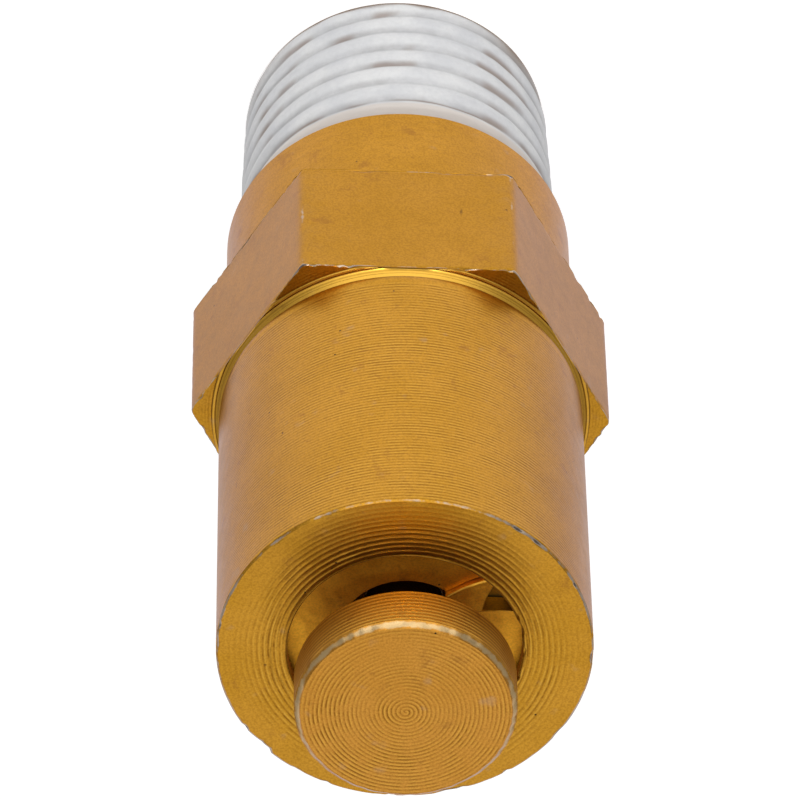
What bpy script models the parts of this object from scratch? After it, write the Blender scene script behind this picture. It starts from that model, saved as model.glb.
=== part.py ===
"""Automatic air vent with a 1/4-18 tapered pipe thread, a hexagon and a mushroom-headed plunger.

The axis is +Z, the threaded inlet end lies on z = 0 and the plunger stands out of the top.
Air leaves past the plunger's stem. Flow lifts the plunger until the rubber poppet seal meets
the seat ring, and the return spring pushes it open again when the pressure goes.
Everything is in metres.
"""

import math

import bmesh
import bpy
from mathutils import Vector

MM = 0.001

# Levels along the axis, from the thread's end
THREAD_LENGTH = 10.1 * MM
NECK_LENGTH = 5.1 * MM
HEX_LENGTH = 7.2 * MM
BARREL_LENGTH = 16.4 * MM
HEX_BASE_Z = THREAD_LENGTH + NECK_LENGTH
BARREL_BASE_Z = HEX_BASE_Z + HEX_LENGTH
FACE_Z = BARREL_BASE_Z + BARREL_LENGTH

# Outside of the body
BARREL_R = 7.88 * MM
NECK_R = 7.63 * MM
HEX_ACROSS_FLATS = 15.875 * MM
EDGE_CHAMFER = 0.15 * MM

# 1/4-18 taper pipe thread
THREAD_PITCH = 1.411 * MM
THREAD_DEPTH = 0.95 * MM
THREAD_END_R = 6.6 * MM
THREAD_TAPER = 1.0 / 32.0
THREAD_CREST_FLAT = 0.3
THREAD_TURNS = 6
FIRST_RIDGE = 1.22  # turns above the inlet end
SEALANT_CLEARANCE = 0.05 * MM
SEALANT_RIDGE = 0.24 * MM
SEALANT_VALLEY = 0.12 * MM
SEALANT_BASE_Z = 0.1 * MM

# Bore of the body, from the inlet upwards
INLET_R = 4.2 * MM
SCREEN_SHOULDER_Z = 5.5 * MM
POPPET_BORE_R = 3.9 * MM
SEAT_SHOULDER_Z = 12.0 * MM
CHAMBER_R = 4.92 * MM
SNAP_GROOVE_R = 4.55 * MM
RING_GROOVE_R = 5.35 * MM

# Gap between pieces that rest on each other, and the side play of the pieces in the bore
REST_GAP = 0.1 * MM
BORE_PLAY = 0.08 * MM
STEM_PLAY = 0.1 * MM

# Plunger
HEAD_R = 4.63 * MM
HEAD_CHAMFER = 0.25 * MM
HEAD_THICKNESS = 2.26 * MM
HEAD_LIFT = 1.84 * MM
SHOULDER_R = 1.65 * MM
STEM_R = 1.2 * MM
STUD_R = 0.9 * MM
PLUNGER_TRAVEL = 1.5 * MM

# Retaining ring: one coil of flat strip whose upper end stands proud as a step
RING_TOP_Z = FACE_Z - 0.8 * MM
RING_BASE_Z = RING_TOP_Z - 1.0 * MM
RING_STEP = 0.42 * MM
RING_INNER_R = 2.76 * MM
RING_END_ANGLE = math.radians(-131.0)
RING_GAP_ANGLE = math.radians(2.0)
RING_SEGMENTS = 44

# Stack of the pieces held in the chamber
GUIDE_TOP_Z = RING_BASE_Z - REST_GAP
GUIDE_BASE_Z = GUIDE_TOP_Z - 5.1 * MM
GUIDE_WEB_Z = GUIDE_BASE_Z + 3.0 * MM
GUIDE_WELL_R = 3.05 * MM
VENT_HOLE_R = 0.42 * MM
VENT_CIRCLE_R = 2.2 * MM
VENT_COUNT = 6
SEAT_BASE_Z = SEAT_SHOULDER_Z + REST_GAP
SEAT_TOP_Z = SEAT_BASE_Z + 3.5 * MM
SEAT_HOLE_R = 2.0 * MM
SEAT_LIP_R = 2.5 * MM
SEAT_LIP_Z = SEAT_SHOULDER_Z - 0.5 * MM
SLEEVE_INNER_R = 4.0 * MM

# Poppet: its seal closes on the seat lip after the plunger's travel
SEAL_TOP_Z = SEAT_LIP_Z - PLUNGER_TRAVEL - REST_GAP
SEAL_THICKNESS = 0.8 * MM
POPPET_THICKNESS = 1.0 * MM
POPPET_R = 3.0 * MM
NUT_ACROSS_FLATS = 3.4 * MM
NUT_THICKNESS = 1.3 * MM

# Spring round the stem
SPRING_WIRE_R = 0.2 * MM
SPRING_COIL_R = 2.4 * MM
SPRING_TURNS = 8
SPRING_POINTS_PER_TURN = 12
CLIP_BASE_Z = 19.8 * MM

BODY_STEPS = 48
BORE_PIECE_STEPS = 40
SMALL_STEPS = 32


def clear_scene():
    for scene_object in list(bpy.data.objects):
        bpy.data.objects.remove(scene_object, do_unlink=True)


def make_collection(name):
    collection = bpy.data.collections.new(name)
    bpy.context.scene.collection.children.link(collection)
    return collection


def make_material(name, color, metallic, roughness):
    material = bpy.data.materials.new(name)
    material.use_nodes = True
    shader = material.node_tree.nodes["Principled BSDF"]
    shader.inputs["Base Color"].default_value = (*color, 1.0)
    shader.inputs["Metallic"].default_value = metallic
    shader.inputs["Roughness"].default_value = roughness
    return material


def gold_metal(name):
    return make_material(name, (0.58, 0.31, 0.07), 1.0, 0.3)


def tarnished_gold(name):
    return make_material(name, (0.16, 0.08, 0.015), 1.0, 0.45)


def bright_steel(name):
    return make_material(name, (0.55, 0.55, 0.56), 1.0, 0.32)


def yellow_brass(name):
    return make_material(name, (0.66, 0.47, 0.2), 1.0, 0.35)


def black_rubber(name):
    return make_material(name, (0.02, 0.02, 0.02), 0.0, 0.7)


def white_sealant(name):
    return make_material(name, (0.62, 0.62, 0.62), 0.0, 0.75)


def white_plastic(name):
    return make_material(name, (0.8, 0.79, 0.75), 0.0, 0.5)


def baked(source, name, collection, material):
    """Replace a curve or an object with modifiers by its evaluated, welded and shaded mesh."""
    bpy.context.view_layer.update()
    graph = bpy.context.evaluated_depsgraph_get()
    mesh = bpy.data.meshes.new_from_object(source.evaluated_get(graph))
    welded = bmesh.new()
    welded.from_mesh(mesh)
    bmesh.ops.remove_doubles(welded, verts=welded.verts, dist=1e-7)
    welded.to_mesh(mesh)
    welded.free()
    mesh.shade_smooth()
    mesh.set_sharp_from_angle(angle=math.radians(30.0))
    mesh.materials.clear()
    if material:
        mesh.materials.append(material)
    result = bpy.data.objects.new(name, mesh)
    result.matrix_world = source.matrix_world
    bpy.data.objects.remove(source, do_unlink=True)
    result.name = name
    collection.objects.link(result)
    return result


def profile_object(name, profile, steps, closed):
    """An outline in the XZ plane with a Screw modifier that turns it round the Z axis."""
    edges = [(i, i + 1) for i in range(len(profile) - 1)]
    if closed:
        edges.append((len(profile) - 1, 0))
    mesh = bpy.data.meshes.new(name)
    mesh.from_pydata([(radius, 0.0, z) for radius, z in profile], edges, [])
    turned = bpy.data.objects.new(name, mesh)
    bpy.context.scene.collection.objects.link(turned)
    screw = turned.modifiers.new("turn", "SCREW")
    screw.axis = "Z"
    screw.angle = 2.0 * math.pi
    screw.steps = steps
    screw.render_steps = steps
    screw.use_merge_vertices = True
    screw.merge_threshold = 1e-6
    return turned


def turned_ring(name, profile, material, collection, steps=SMALL_STEPS):
    """A turned piece with a hole through it: outer side downwards, then the bore upwards."""
    return baked(profile_object(name, profile, steps, True), name, collection, material)


def turned_solid(name, profile, material, collection, steps=SMALL_STEPS):
    """A turned piece without a hole: its profile starts and ends on the axis."""
    return baked(profile_object(name, profile, steps, False), name, collection, material)


def plain_washer(name, outer_r, inner_r, base_z, top_z, material, collection, steps=SMALL_STEPS):
    profile = [(outer_r, top_z), (outer_r, base_z), (inner_r, base_z), (inner_r, top_z)]
    return turned_ring(name, profile, material, collection, steps)


def arc_points(radius, start, end, count):
    return [
        (
            radius * math.cos(start + (end - start) * i / (count - 1)),
            radius * math.sin(start + (end - start) * i / (count - 1)),
        )
        for i in range(count)
    ]


def circle_points(radius, count, center=(0.0, 0.0), phase=0.0):
    step = 2.0 * math.pi / count
    return [
        (
            center[0] + radius * math.cos(phase + i * step),
            center[1] + radius * math.sin(phase + i * step),
        )
        for i in range(count)
    ]


def split_ring_outline(outer_r, inner_r, gap_angle, middle, count):
    """Outline of an open ring whose gap is centred on the angle middle."""
    start = middle + gap_angle / 2.0
    end = middle + 2.0 * math.pi - gap_angle / 2.0
    return arc_points(outer_r, start, end, count) + arc_points(inner_r, end, start, count)


def flat_plate(name, outlines, base_z, thickness, material, collection):
    """A flat piece cut from sheet: the first outline is its edge, the others are holes."""
    curve = bpy.data.curves.new(name, "CURVE")
    curve.dimensions = "2D"
    curve.fill_mode = "BOTH"
    curve.extrude = thickness / 2.0
    for outline in outlines:
        spline = curve.splines.new("POLY")
        spline.points.add(len(outline) - 1)
        for point, (x, y) in zip(spline.points, outline):
            point.co = (x, y, 0.0, 1.0)
        spline.use_cyclic_u = True
    plate = bpy.data.objects.new(name, curve)
    plate.location.z = base_z + thickness / 2.0
    bpy.context.scene.collection.objects.link(plate)
    return baked(plate, name, collection, material)


def cut(target, cutter, operation):
    boolean = target.modifiers.new(operation.lower(), "BOOLEAN")
    boolean.operation = operation
    boolean.solver = "EXACT"
    boolean.object = cutter


def as_cutter(cutter):
    cutter.hide_render = True
    cutter.display_type = "WIRE"
    return cutter


def round_cutters(name, radius, centers, base_z, top_z, cutters):
    """Round bars, one at each centre, joined in one mesh."""
    bars = bmesh.new()
    for x, y in centers:
        made = bmesh.ops.create_cone(
            bars, cap_ends=True, segments=12, radius1=radius, radius2=radius, depth=top_z - base_z
        )
        bmesh.ops.translate(bars, verts=made["verts"], vec=Vector((x, y, (base_z + top_z) / 2.0)))
    mesh = bpy.data.meshes.new(name)
    bars.to_mesh(mesh)
    bars.free()
    cutter = bpy.data.objects.new(name, mesh)
    cutters.objects.link(cutter)
    return as_cutter(cutter)


def box_cutter(name, low, high, cutters):
    box = bmesh.new()
    bmesh.ops.create_cube(box, size=1.0)
    size = Vector(high) - Vector(low)
    bmesh.ops.scale(box, verts=box.verts, vec=size)
    bmesh.ops.translate(box, verts=box.verts, vec=(Vector(high) + Vector(low)) / 2.0)
    mesh = bpy.data.meshes.new(name)
    box.to_mesh(mesh)
    box.free()
    cutter = bpy.data.objects.new(name, mesh)
    cutters.objects.link(cutter)
    return as_cutter(cutter)


def thread_crest_r(z):
    return THREAD_END_R + z * THREAD_TAPER


def ridge_height(turn):
    return (FIRST_RIDGE + turn) * THREAD_PITCH


def thread_profile():
    """Ridges of the tapered thread, listed from its top end down to the inlet end."""
    points = [(thread_crest_r(THREAD_LENGTH) - THREAD_DEPTH * 0.5, THREAD_LENGTH)]
    for turn in reversed(range(THREAD_TURNS)):
        crest_z = ridge_height(turn)
        half_crest = THREAD_PITCH * THREAD_CREST_FLAT / 2.0
        points.append((thread_crest_r(crest_z), crest_z + half_crest))
        points.append((thread_crest_r(crest_z), crest_z - half_crest))
        root_z = crest_z - THREAD_PITCH / 2.0
        points.append((thread_crest_r(root_z) - THREAD_DEPTH, root_z))
    lead_z = THREAD_PITCH * 0.5
    points.append((thread_crest_r(lead_z), lead_z))
    points.append((thread_crest_r(0.0) - THREAD_DEPTH * 0.6, 0.0))
    return points


def build_body(parts, cutters):
    """One turned piece: thread, neck, hexagon and barrel, with a stepped bore through it."""
    outside = [
        (0.0, FACE_Z),
        (BARREL_R - EDGE_CHAMFER, FACE_Z),
        (BARREL_R, FACE_Z - EDGE_CHAMFER),
        (BARREL_R, BARREL_BASE_Z - 1.0 * MM),
        (NECK_R, HEX_BASE_Z + 1.0 * MM),
        (NECK_R, THREAD_LENGTH + EDGE_CHAMFER),
        (NECK_R - EDGE_CHAMFER, THREAD_LENGTH),
    ]
    outside += thread_profile()
    outside.append((0.0, 0.0))
    body = profile_object("body", outside, BODY_STEPS, False)

    corner_r = HEX_ACROSS_FLATS / 2.0 / math.cos(math.pi / 6.0)
    corners = circle_points(corner_r, 6)
    hexagon = flat_plate("hexagon_blank", [corners], HEX_BASE_Z, HEX_LENGTH, None, cutters)
    cut(body, as_cutter(hexagon), "UNION")

    over = 1.0 * MM
    groove_over = 0.1 * MM
    snap_base_z = SCREEN_SHOULDER_Z - 1.25 * MM
    snap_top_z = snap_base_z + 0.7 * MM
    bore = [
        (0.0, FACE_Z + over),
        (CHAMBER_R, FACE_Z + over),
        (CHAMBER_R, RING_TOP_Z + groove_over),
        (RING_GROOVE_R, RING_TOP_Z + groove_over),
        (RING_GROOVE_R, RING_BASE_Z - groove_over),
        (CHAMBER_R, RING_BASE_Z - groove_over),
        (CHAMBER_R, SEAT_SHOULDER_Z),
        (POPPET_BORE_R, SEAT_SHOULDER_Z),
        (POPPET_BORE_R, SCREEN_SHOULDER_Z),
        (INLET_R, SCREEN_SHOULDER_Z),
        (INLET_R, snap_top_z),
        (SNAP_GROOVE_R, snap_top_z),
        (SNAP_GROOVE_R, snap_base_z),
        (INLET_R, snap_base_z),
        (INLET_R, -over),
        (0.0, -over),
    ]
    bore_cutter = turned_solid("bore_cutter", bore, None, cutters, BODY_STEPS)
    cut(body, as_cutter(bore_cutter), "DIFFERENCE")
    baked(body, "body", parts, gold_metal("body_gold"))


def build_thread_sealant(parts):
    """Dry sealant that fills the thread and follows its ridges in soft waves."""
    top_z = THREAD_LENGTH - REST_GAP
    outside = [(thread_crest_r(top_z) + SEALANT_VALLEY, top_z)]
    for turn in reversed(range(THREAD_TURNS)):
        ridge_z = ridge_height(turn)
        valley_z = ridge_z - THREAD_PITCH / 2.0
        ridge_r = thread_crest_r(ridge_z) + SEALANT_RIDGE
        outside.append((ridge_r, ridge_z + THREAD_PITCH * 0.18))
        outside.append((ridge_r, ridge_z - THREAD_PITCH * 0.18))
        outside.append((thread_crest_r(valley_z) + SEALANT_VALLEY, valley_z))
    outside.append((thread_crest_r(SEALANT_BASE_Z) + SEALANT_VALLEY, SEALANT_BASE_Z))
    inside = [
        (thread_crest_r(SEALANT_BASE_Z) + SEALANT_CLEARANCE, SEALANT_BASE_Z),
        (thread_crest_r(top_z) + SEALANT_CLEARANCE, top_z),
    ]
    turned_ring("thread_sealant", outside + inside, white_sealant("dry_sealant"), parts, BODY_STEPS)


def build_plunger(parts):
    """Mushroom head, stem with the rest shoulder, clip groove and lower stud in one turned piece."""
    head_base_z = FACE_Z + HEAD_LIFT
    head_top_z = head_base_z + HEAD_THICKNESS
    shoulder_z = GUIDE_WEB_Z + 0.7 * MM
    clip_low_z = CLIP_BASE_Z - 0.05 * MM
    clip_high_z = CLIP_BASE_Z + 0.55 * MM
    groove_r = 0.85 * MM
    stud_top_z = SEAL_TOP_Z + 0.6 * MM
    stud_base_z = SCREEN_SHOULDER_Z + 0.3 * MM
    profile = [
        (0.0, head_top_z),
        (HEAD_R - HEAD_CHAMFER, head_top_z),
        (HEAD_R, head_top_z - HEAD_CHAMFER),
        (HEAD_R, head_base_z),
        (SHOULDER_R, head_base_z),
        (SHOULDER_R, shoulder_z),
        (STEM_R, shoulder_z),
        (STEM_R, clip_high_z),
        (groove_r, clip_high_z),
        (groove_r, clip_low_z),
        (STEM_R, clip_low_z),
        (STEM_R, stud_top_z),
        (STUD_R, stud_top_z),
        (STUD_R, stud_base_z),
        (0.0, stud_base_z),
    ]
    turned_solid("plunger", profile, gold_metal("plunger_gold"), parts, 40)


def build_retaining_ring(parts, cutters):
    """A coil of flat strip in the body's groove, with its upper end cut off square as a step."""
    outer_r = RING_GROOVE_R - 0.1 * MM
    sweep = 2.0 * math.pi - RING_GAP_ANGLE
    sections = []
    ring = bmesh.new()
    for i in range(RING_SEGMENTS + 1):
        turn = i / RING_SEGMENTS
        angle = RING_END_ANGLE - sweep * turn
        top_z = RING_TOP_Z - RING_STEP * turn
        corners = (
            (RING_INNER_R, RING_BASE_Z),
            (outer_r, RING_BASE_Z),
            (outer_r, top_z),
            (RING_INNER_R, top_z),
        )
        sections.append(
            [ring.verts.new((r * math.cos(angle), r * math.sin(angle), z)) for r, z in corners]
        )
    for near, far in zip(sections, sections[1:]):
        for k in range(4):
            following = (k + 1) % 4
            ring.faces.new((near[k], far[k], far[following], near[following]))
    ring.faces.new(sections[0])
    ring.faces.new(sections[-1][::-1])
    bmesh.ops.recalc_face_normals(ring, faces=ring.faces)
    mesh = bpy.data.meshes.new("retaining_ring")
    ring.to_mesh(mesh)
    ring.free()
    coil = bpy.data.objects.new("retaining_ring", mesh)
    bpy.context.scene.collection.objects.link(coil)
    notch_low = (-6.0 * MM, -3.0 * MM, RING_TOP_Z - 0.55 * MM)
    notch_high = (-3.1 * MM, -1.55 * MM, RING_TOP_Z + 1.0 * MM)
    notch = box_cutter("removal_notch_cutter", notch_low, notch_high, cutters)
    cut(coil, notch, "DIFFERENCE")
    baked(coil, "retaining_ring", parts, tarnished_gold("ring_gold"))


def build_guide_bush(parts, cutters):
    """Bush that guides the stem, with a well under the ring and vent holes through its web."""
    outer_r = CHAMBER_R - BORE_PLAY
    hole_r = STEM_R + STEM_PLAY
    profile = [
        (outer_r, GUIDE_TOP_Z),
        (outer_r, GUIDE_BASE_Z),
        (hole_r, GUIDE_BASE_Z),
        (hole_r, GUIDE_WEB_Z),
        (GUIDE_WELL_R, GUIDE_WEB_Z),
        (GUIDE_WELL_R, GUIDE_TOP_Z),
    ]
    bush = profile_object("guide_bush", profile, BORE_PIECE_STEPS, True)
    over = 1.0 * MM
    centers = circle_points(VENT_CIRCLE_R, VENT_COUNT)
    vents = round_cutters(
        "vent_hole_cutter", VENT_HOLE_R, centers, GUIDE_BASE_Z - over, GUIDE_WEB_Z + over, cutters
    )
    cut(bush, vents, "DIFFERENCE")
    baked(bush, "guide_bush", parts, yellow_brass("bush_brass"))


def build_seat_stack(parts):
    """Seat ring with its lip and O-ring, and the sleeve that holds it down."""
    outer_r = CHAMBER_R - BORE_PLAY
    groove_r = 3.85 * MM
    groove_low_z = SEAT_BASE_Z + 1.1 * MM
    groove_high_z = SEAT_BASE_Z + 2.4 * MM
    profile = [
        (outer_r, SEAT_TOP_Z),
        (outer_r, groove_high_z),
        (groove_r, groove_high_z),
        (groove_r, groove_low_z),
        (outer_r, groove_low_z),
        (outer_r, SEAT_BASE_Z),
        (POPPET_BORE_R - 0.4 * MM, SEAT_BASE_Z),
        (SEAT_LIP_R, SEAT_BASE_Z),
        (SEAT_LIP_R, SEAT_LIP_Z),
        (SEAT_HOLE_R, SEAT_LIP_Z),
        (SEAT_HOLE_R, SEAT_TOP_Z),
    ]
    turned_ring("seat_ring", profile, yellow_brass("seat_brass"), parts, BORE_PIECE_STEPS)

    cord_r = 0.42 * MM
    middle_r = (groove_r + CHAMBER_R) / 2.0
    middle_z = (groove_low_z + groove_high_z) / 2.0
    section = [(middle_r + x, middle_z - z) for x, z in circle_points(cord_r, 8)]
    turned_ring("seat_o_ring", section, black_rubber("o_ring_rubber"), parts, SMALL_STEPS)

    plain_washer(
        "spacer_sleeve",
        outer_r,
        SLEEVE_INNER_R,
        SEAT_TOP_Z + REST_GAP,
        GUIDE_BASE_Z - REST_GAP,
        bright_steel("sleeve_steel"),
        parts,
        BORE_PIECE_STEPS,
    )


def build_poppet(parts):
    """Seal and plate clamped on the stem's lower stud."""
    stud_hole_r = STUD_R + 0.05 * MM
    steel = bright_steel("poppet_steel")
    seal_base_z = SEAL_TOP_Z - SEAL_THICKNESS
    poppet_top_z = seal_base_z - REST_GAP
    poppet_base_z = poppet_top_z - POPPET_THICKNESS
    lock_top_z = poppet_base_z - REST_GAP
    lock_base_z = lock_top_z - 0.35 * MM
    nut_top_z = lock_base_z - REST_GAP

    clamp_base_z = SEAL_TOP_Z + REST_GAP
    clamp_top_z = clamp_base_z + 0.4 * MM
    plain_washer("seal_clamp_washer", 1.7 * MM, stud_hole_r, clamp_base_z, clamp_top_z, steel, parts)
    rubber = black_rubber("seal_rubber")
    plain_washer("poppet_seal", 2.85 * MM, stud_hole_r, seal_base_z, SEAL_TOP_Z, rubber, parts)
    rim = 0.3 * MM
    profile = [
        (POPPET_R, poppet_top_z),
        (POPPET_R, poppet_base_z + rim),
        (POPPET_R - rim, poppet_base_z),
        (stud_hole_r, poppet_base_z),
        (stud_hole_r, poppet_top_z),
    ]
    turned_ring("poppet_plate", profile, yellow_brass("poppet_brass"), parts)

    lock = split_ring_outline(1.6 * MM, stud_hole_r, math.radians(14.0), 0.0, 20)
    flat_plate("lock_washer", [lock], lock_base_z, lock_top_z - lock_base_z, steel, parts)

    corner_r = NUT_ACROSS_FLATS / 2.0 / math.cos(math.pi / 6.0)
    outlines = [circle_points(corner_r, 6), circle_points(stud_hole_r, 16)]
    flat_plate("poppet_nut", outlines, nut_top_z - NUT_THICKNESS, NUT_THICKNESS, steel, parts)


def build_spring_set(parts):
    """Return spring round the stem, between a washer under the bush and a cup on the stem's clip."""
    hole_r = STEM_R + STEM_PLAY
    steel = bright_steel("spring_steel")
    washer_top_z = GUIDE_BASE_Z - REST_GAP
    washer_base_z = washer_top_z - 0.4 * MM
    plain_washer("spring_washer", 3.2 * MM, hole_r, washer_base_z, washer_top_z, steel, parts)

    clip_thickness = 0.5 * MM
    clip = split_ring_outline(2.2 * MM, 0.9 * MM, math.radians(80.0), 0.0, 18)
    flat_plate("stem_clip", [clip], CLIP_BASE_Z, clip_thickness, steel, parts)

    cup_base_z = CLIP_BASE_Z + clip_thickness + REST_GAP
    cup_floor_z = cup_base_z + 0.4 * MM
    rim_r = SPRING_COIL_R + SPRING_WIRE_R + 0.15 * MM
    profile = [
        (rim_r + 0.35 * MM, cup_floor_z + 0.5 * MM),
        (rim_r + 0.35 * MM, cup_base_z),
        (hole_r, cup_base_z),
        (hole_r, cup_floor_z),
        (rim_r, cup_floor_z),
        (rim_r, cup_floor_z + 0.5 * MM),
    ]
    turned_ring("spring_cup", profile, steel, parts)

    low_z = cup_floor_z + REST_GAP + SPRING_WIRE_R
    high_z = washer_base_z - REST_GAP - SPRING_WIRE_R
    build_spring(low_z, high_z, steel, parts)


def build_spring(low_z, high_z, material, parts):
    """Open coils between one nearly closed coil at each end."""
    closed_pitch = 2.0 * SPRING_WIRE_R + 0.06 * MM
    open_pitch = (high_z - low_z - 2.0 * closed_pitch) / (SPRING_TURNS - 2)
    points = []
    for i in range(SPRING_TURNS * SPRING_POINTS_PER_TURN + 1):
        turn = i / SPRING_POINTS_PER_TURN
        rise = closed_pitch * min(turn, 1.0)
        rise += open_pitch * min(max(turn - 1.0, 0.0), SPRING_TURNS - 2)
        rise += closed_pitch * max(turn - (SPRING_TURNS - 1), 0.0)
        angle = 2.0 * math.pi * turn
        points.append((SPRING_COIL_R * math.cos(angle), SPRING_COIL_R * math.sin(angle), low_z + rise))
    curve = bpy.data.curves.new("return_spring", "CURVE")
    curve.dimensions = "3D"
    curve.bevel_depth = SPRING_WIRE_R
    curve.bevel_resolution = 2
    curve.use_fill_caps = True
    spline = curve.splines.new("POLY")
    spline.points.add(len(points) - 1)
    for point, place in zip(spline.points, points):
        point.co = (*place, 1.0)
    wire = bpy.data.objects.new("return_spring", curve)
    bpy.context.scene.collection.objects.link(wire)
    baked(wire, "return_spring", parts, material)


def build_stop_washer(parts):
    """Soft washer on the bush's web that the stem's shoulder rests on."""
    plain_washer(
        "stop_washer",
        SHOULDER_R,
        STEM_R + STEM_PLAY,
        GUIDE_WEB_Z + REST_GAP,
        GUIDE_WEB_Z + 0.6 * MM,
        white_plastic("stop_plastic"),
        parts,
        24,
    )


def build_inlet_screen(parts):
    """Perforated disc that keeps dirt out, and the snap ring under it."""
    screen_base_z = SCREEN_SHOULDER_Z - 0.45 * MM
    hole_r = 0.33 * MM
    outlines = [circle_points(INLET_R - 0.1 * MM, 36), circle_points(hole_r, 10)]
    for count, circle_r in ((6, 1.3 * MM), (12, 2.5 * MM), (18, 3.5 * MM)):
        for center in circle_points(circle_r, count):
            outlines.append(circle_points(hole_r, 8, center))
    steel = bright_steel("screen_steel")
    flat_plate("inlet_screen", outlines, screen_base_z, 0.35 * MM, steel, parts)

    snap_base_z = SCREEN_SHOULDER_Z - 1.15 * MM
    snap_outer_r = SNAP_GROOVE_R - BORE_PLAY
    snap = split_ring_outline(snap_outer_r, 3.6 * MM, math.radians(50.0), math.radians(90.0), 24)
    flat_plate("screen_snap_ring", [snap], snap_base_z, 0.5 * MM, steel, parts)


def main():
    clear_scene()
    parts = make_collection("automatic_air_vent")
    cutters = make_collection("cutters")
    build_body(parts, cutters)
    build_thread_sealant(parts)
    build_plunger(parts)
    build_retaining_ring(parts, cutters)
    build_guide_bush(parts, cutters)
    build_stop_washer(parts)
    build_seat_stack(parts)
    build_spring_set(parts)
    build_poppet(parts)
    build_inlet_screen(parts)


main()
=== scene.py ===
"""Looks of the automatic air vent: turned gold body, dry thread sealant, plunger and inner pieces."""

import math

import bpy
import numpy as np
from mathutils import Matrix, Vector


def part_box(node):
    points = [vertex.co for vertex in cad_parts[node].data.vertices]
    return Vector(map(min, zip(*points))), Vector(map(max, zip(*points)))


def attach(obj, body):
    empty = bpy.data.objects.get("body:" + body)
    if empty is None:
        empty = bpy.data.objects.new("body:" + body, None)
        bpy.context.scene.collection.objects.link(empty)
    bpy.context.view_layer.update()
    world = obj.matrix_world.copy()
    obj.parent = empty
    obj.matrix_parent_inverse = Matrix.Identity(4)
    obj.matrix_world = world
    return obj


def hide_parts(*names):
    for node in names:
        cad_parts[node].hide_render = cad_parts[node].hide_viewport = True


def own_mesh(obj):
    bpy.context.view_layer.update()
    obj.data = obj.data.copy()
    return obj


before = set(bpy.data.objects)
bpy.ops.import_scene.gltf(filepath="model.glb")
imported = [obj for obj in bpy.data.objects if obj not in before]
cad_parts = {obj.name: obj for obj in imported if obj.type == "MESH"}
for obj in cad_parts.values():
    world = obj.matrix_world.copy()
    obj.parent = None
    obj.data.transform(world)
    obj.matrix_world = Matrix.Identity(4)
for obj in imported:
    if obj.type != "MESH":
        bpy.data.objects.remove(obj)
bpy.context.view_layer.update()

MM = 0.001
TURN = 2.0 * math.pi
FRONT_ANGLE = 0.75 * TURN

# Sizes read from the frame
BODY_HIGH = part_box("body")[1]
HEAD_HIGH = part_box("plunger")[1]
FACE_Z = BODY_HIGH.z
HEX_CORNER_R = BODY_HIGH.x
HEX_FLAT_R = BODY_HIGH.y
HEAD_TOP_Z = HEAD_HIGH.z
HEAD_R = HEAD_HIGH.x

# Sizes of the body that its box doesn't give
BARREL_R = 7.88 * MM
NECK_R = 7.63 * MM
NECK_BASE_Z = 10.1 * MM
HEX_BASE_Z = 15.2 * MM
BARREL_BASE_Z = 22.4 * MM
CHAMBER_R = 4.92 * MM
RING_GROOVE_R = 5.35 * MM
RING_GROOVE_LOW_Z = 36.9 * MM
RING_GROOVE_HIGH_Z = 38.1 * MM
SEAT_SHOULDER_Z = 12.0 * MM
POPPET_BORE_R = 3.9 * MM
SCREEN_SHOULDER_Z = 5.5 * MM
INLET_R = 4.2 * MM
SNAP_GROOVE_R = 4.55 * MM
SNAP_GROOVE_LOW_Z = 4.25 * MM
SNAP_GROOVE_HIGH_Z = 4.95 * MM
THREAD_PITCH = 1.411 * MM
THREAD_END_R = 6.6 * MM
THREAD_DEPTH = 0.95 * MM
THREAD_TAPER = 1.0 / 32.0

RIM_CHAMFER = 0.09 * MM
MOUTH_CHAMFER = 0.06 * MM
ROOT_LENGTH = 1.0 * MM

# Tool marks: how far the cutter moves in one turn of the lathe, a whole number of turns a face
FACE_TURNS = 12
BARREL_TURNS = 80
HEAD_SIDE_TURNS = 9
FEED = (BARREL_R - RIM_CHAMFER - CHAMBER_R - MOUTH_CHAMFER) / FACE_TURNS
HEAD_FEED = FEED / 1.3
BARREL_FEED = (FACE_Z - RIM_CHAMFER - BARREL_BASE_Z - ROOT_LENGTH) / BARREL_TURNS

# Stations for each turn of the cutter, before a stretch's number of stations is rounded up
FINE_STATIONS = 6.99
HEAD_STATIONS = 7.0
BARREL_STATIONS = 4.49


# ---------------------------------------------------------------- small helpers


def smooth(low, high, x):
    """0 up to low, 1 from high on, and a smooth rise between."""
    t = np.clip((x - low) / (high - low), 0.0, 1.0)
    return t * t * (3.0 - 2.0 * t)


def span(x, start, full, fading, end):
    """1 from full to fading, and 0 outside start and end."""
    return smooth(start, full, x) * (1.0 - smooth(fading, end, x))


def bell(distance, width):
    """1 at no distance, falling smoothly towards 0 past the width."""
    return np.exp(-((distance / width) ** 2))


class PeriodicNoise:
    """Smooth noise over (azimuth, coordinate) that closes round the axis, from a seeded lattice."""

    def __init__(self, seed, around, along, spacing):
        self.table = np.random.default_rng(seed).uniform(-1.0, 1.0, (around, along))
        self.around = around
        self.along = along
        self.spacing = spacing

    def __call__(self, angle, coordinate):
        u = (angle / TURN) % 1.0 * self.around
        v = coordinate / self.spacing
        iu = np.floor(u).astype(int)
        iv = np.floor(v).astype(int)
        fu = u - iu
        fv = v - iv
        fu = fu * fu * (3.0 - 2.0 * fu)
        fv = fv * fv * (3.0 - 2.0 * fv)
        rows = (iu % self.around, (iu + 1) % self.around)
        columns = (iv % self.along, (iv + 1) % self.along)
        low = self.table[rows[0], columns[0]] * (1 - fu) + self.table[rows[1], columns[0]] * fu
        high = self.table[rows[0], columns[1]] * (1 - fu) + self.table[rows[1], columns[1]] * fu
        return low * (1 - fv) + high * fv


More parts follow.
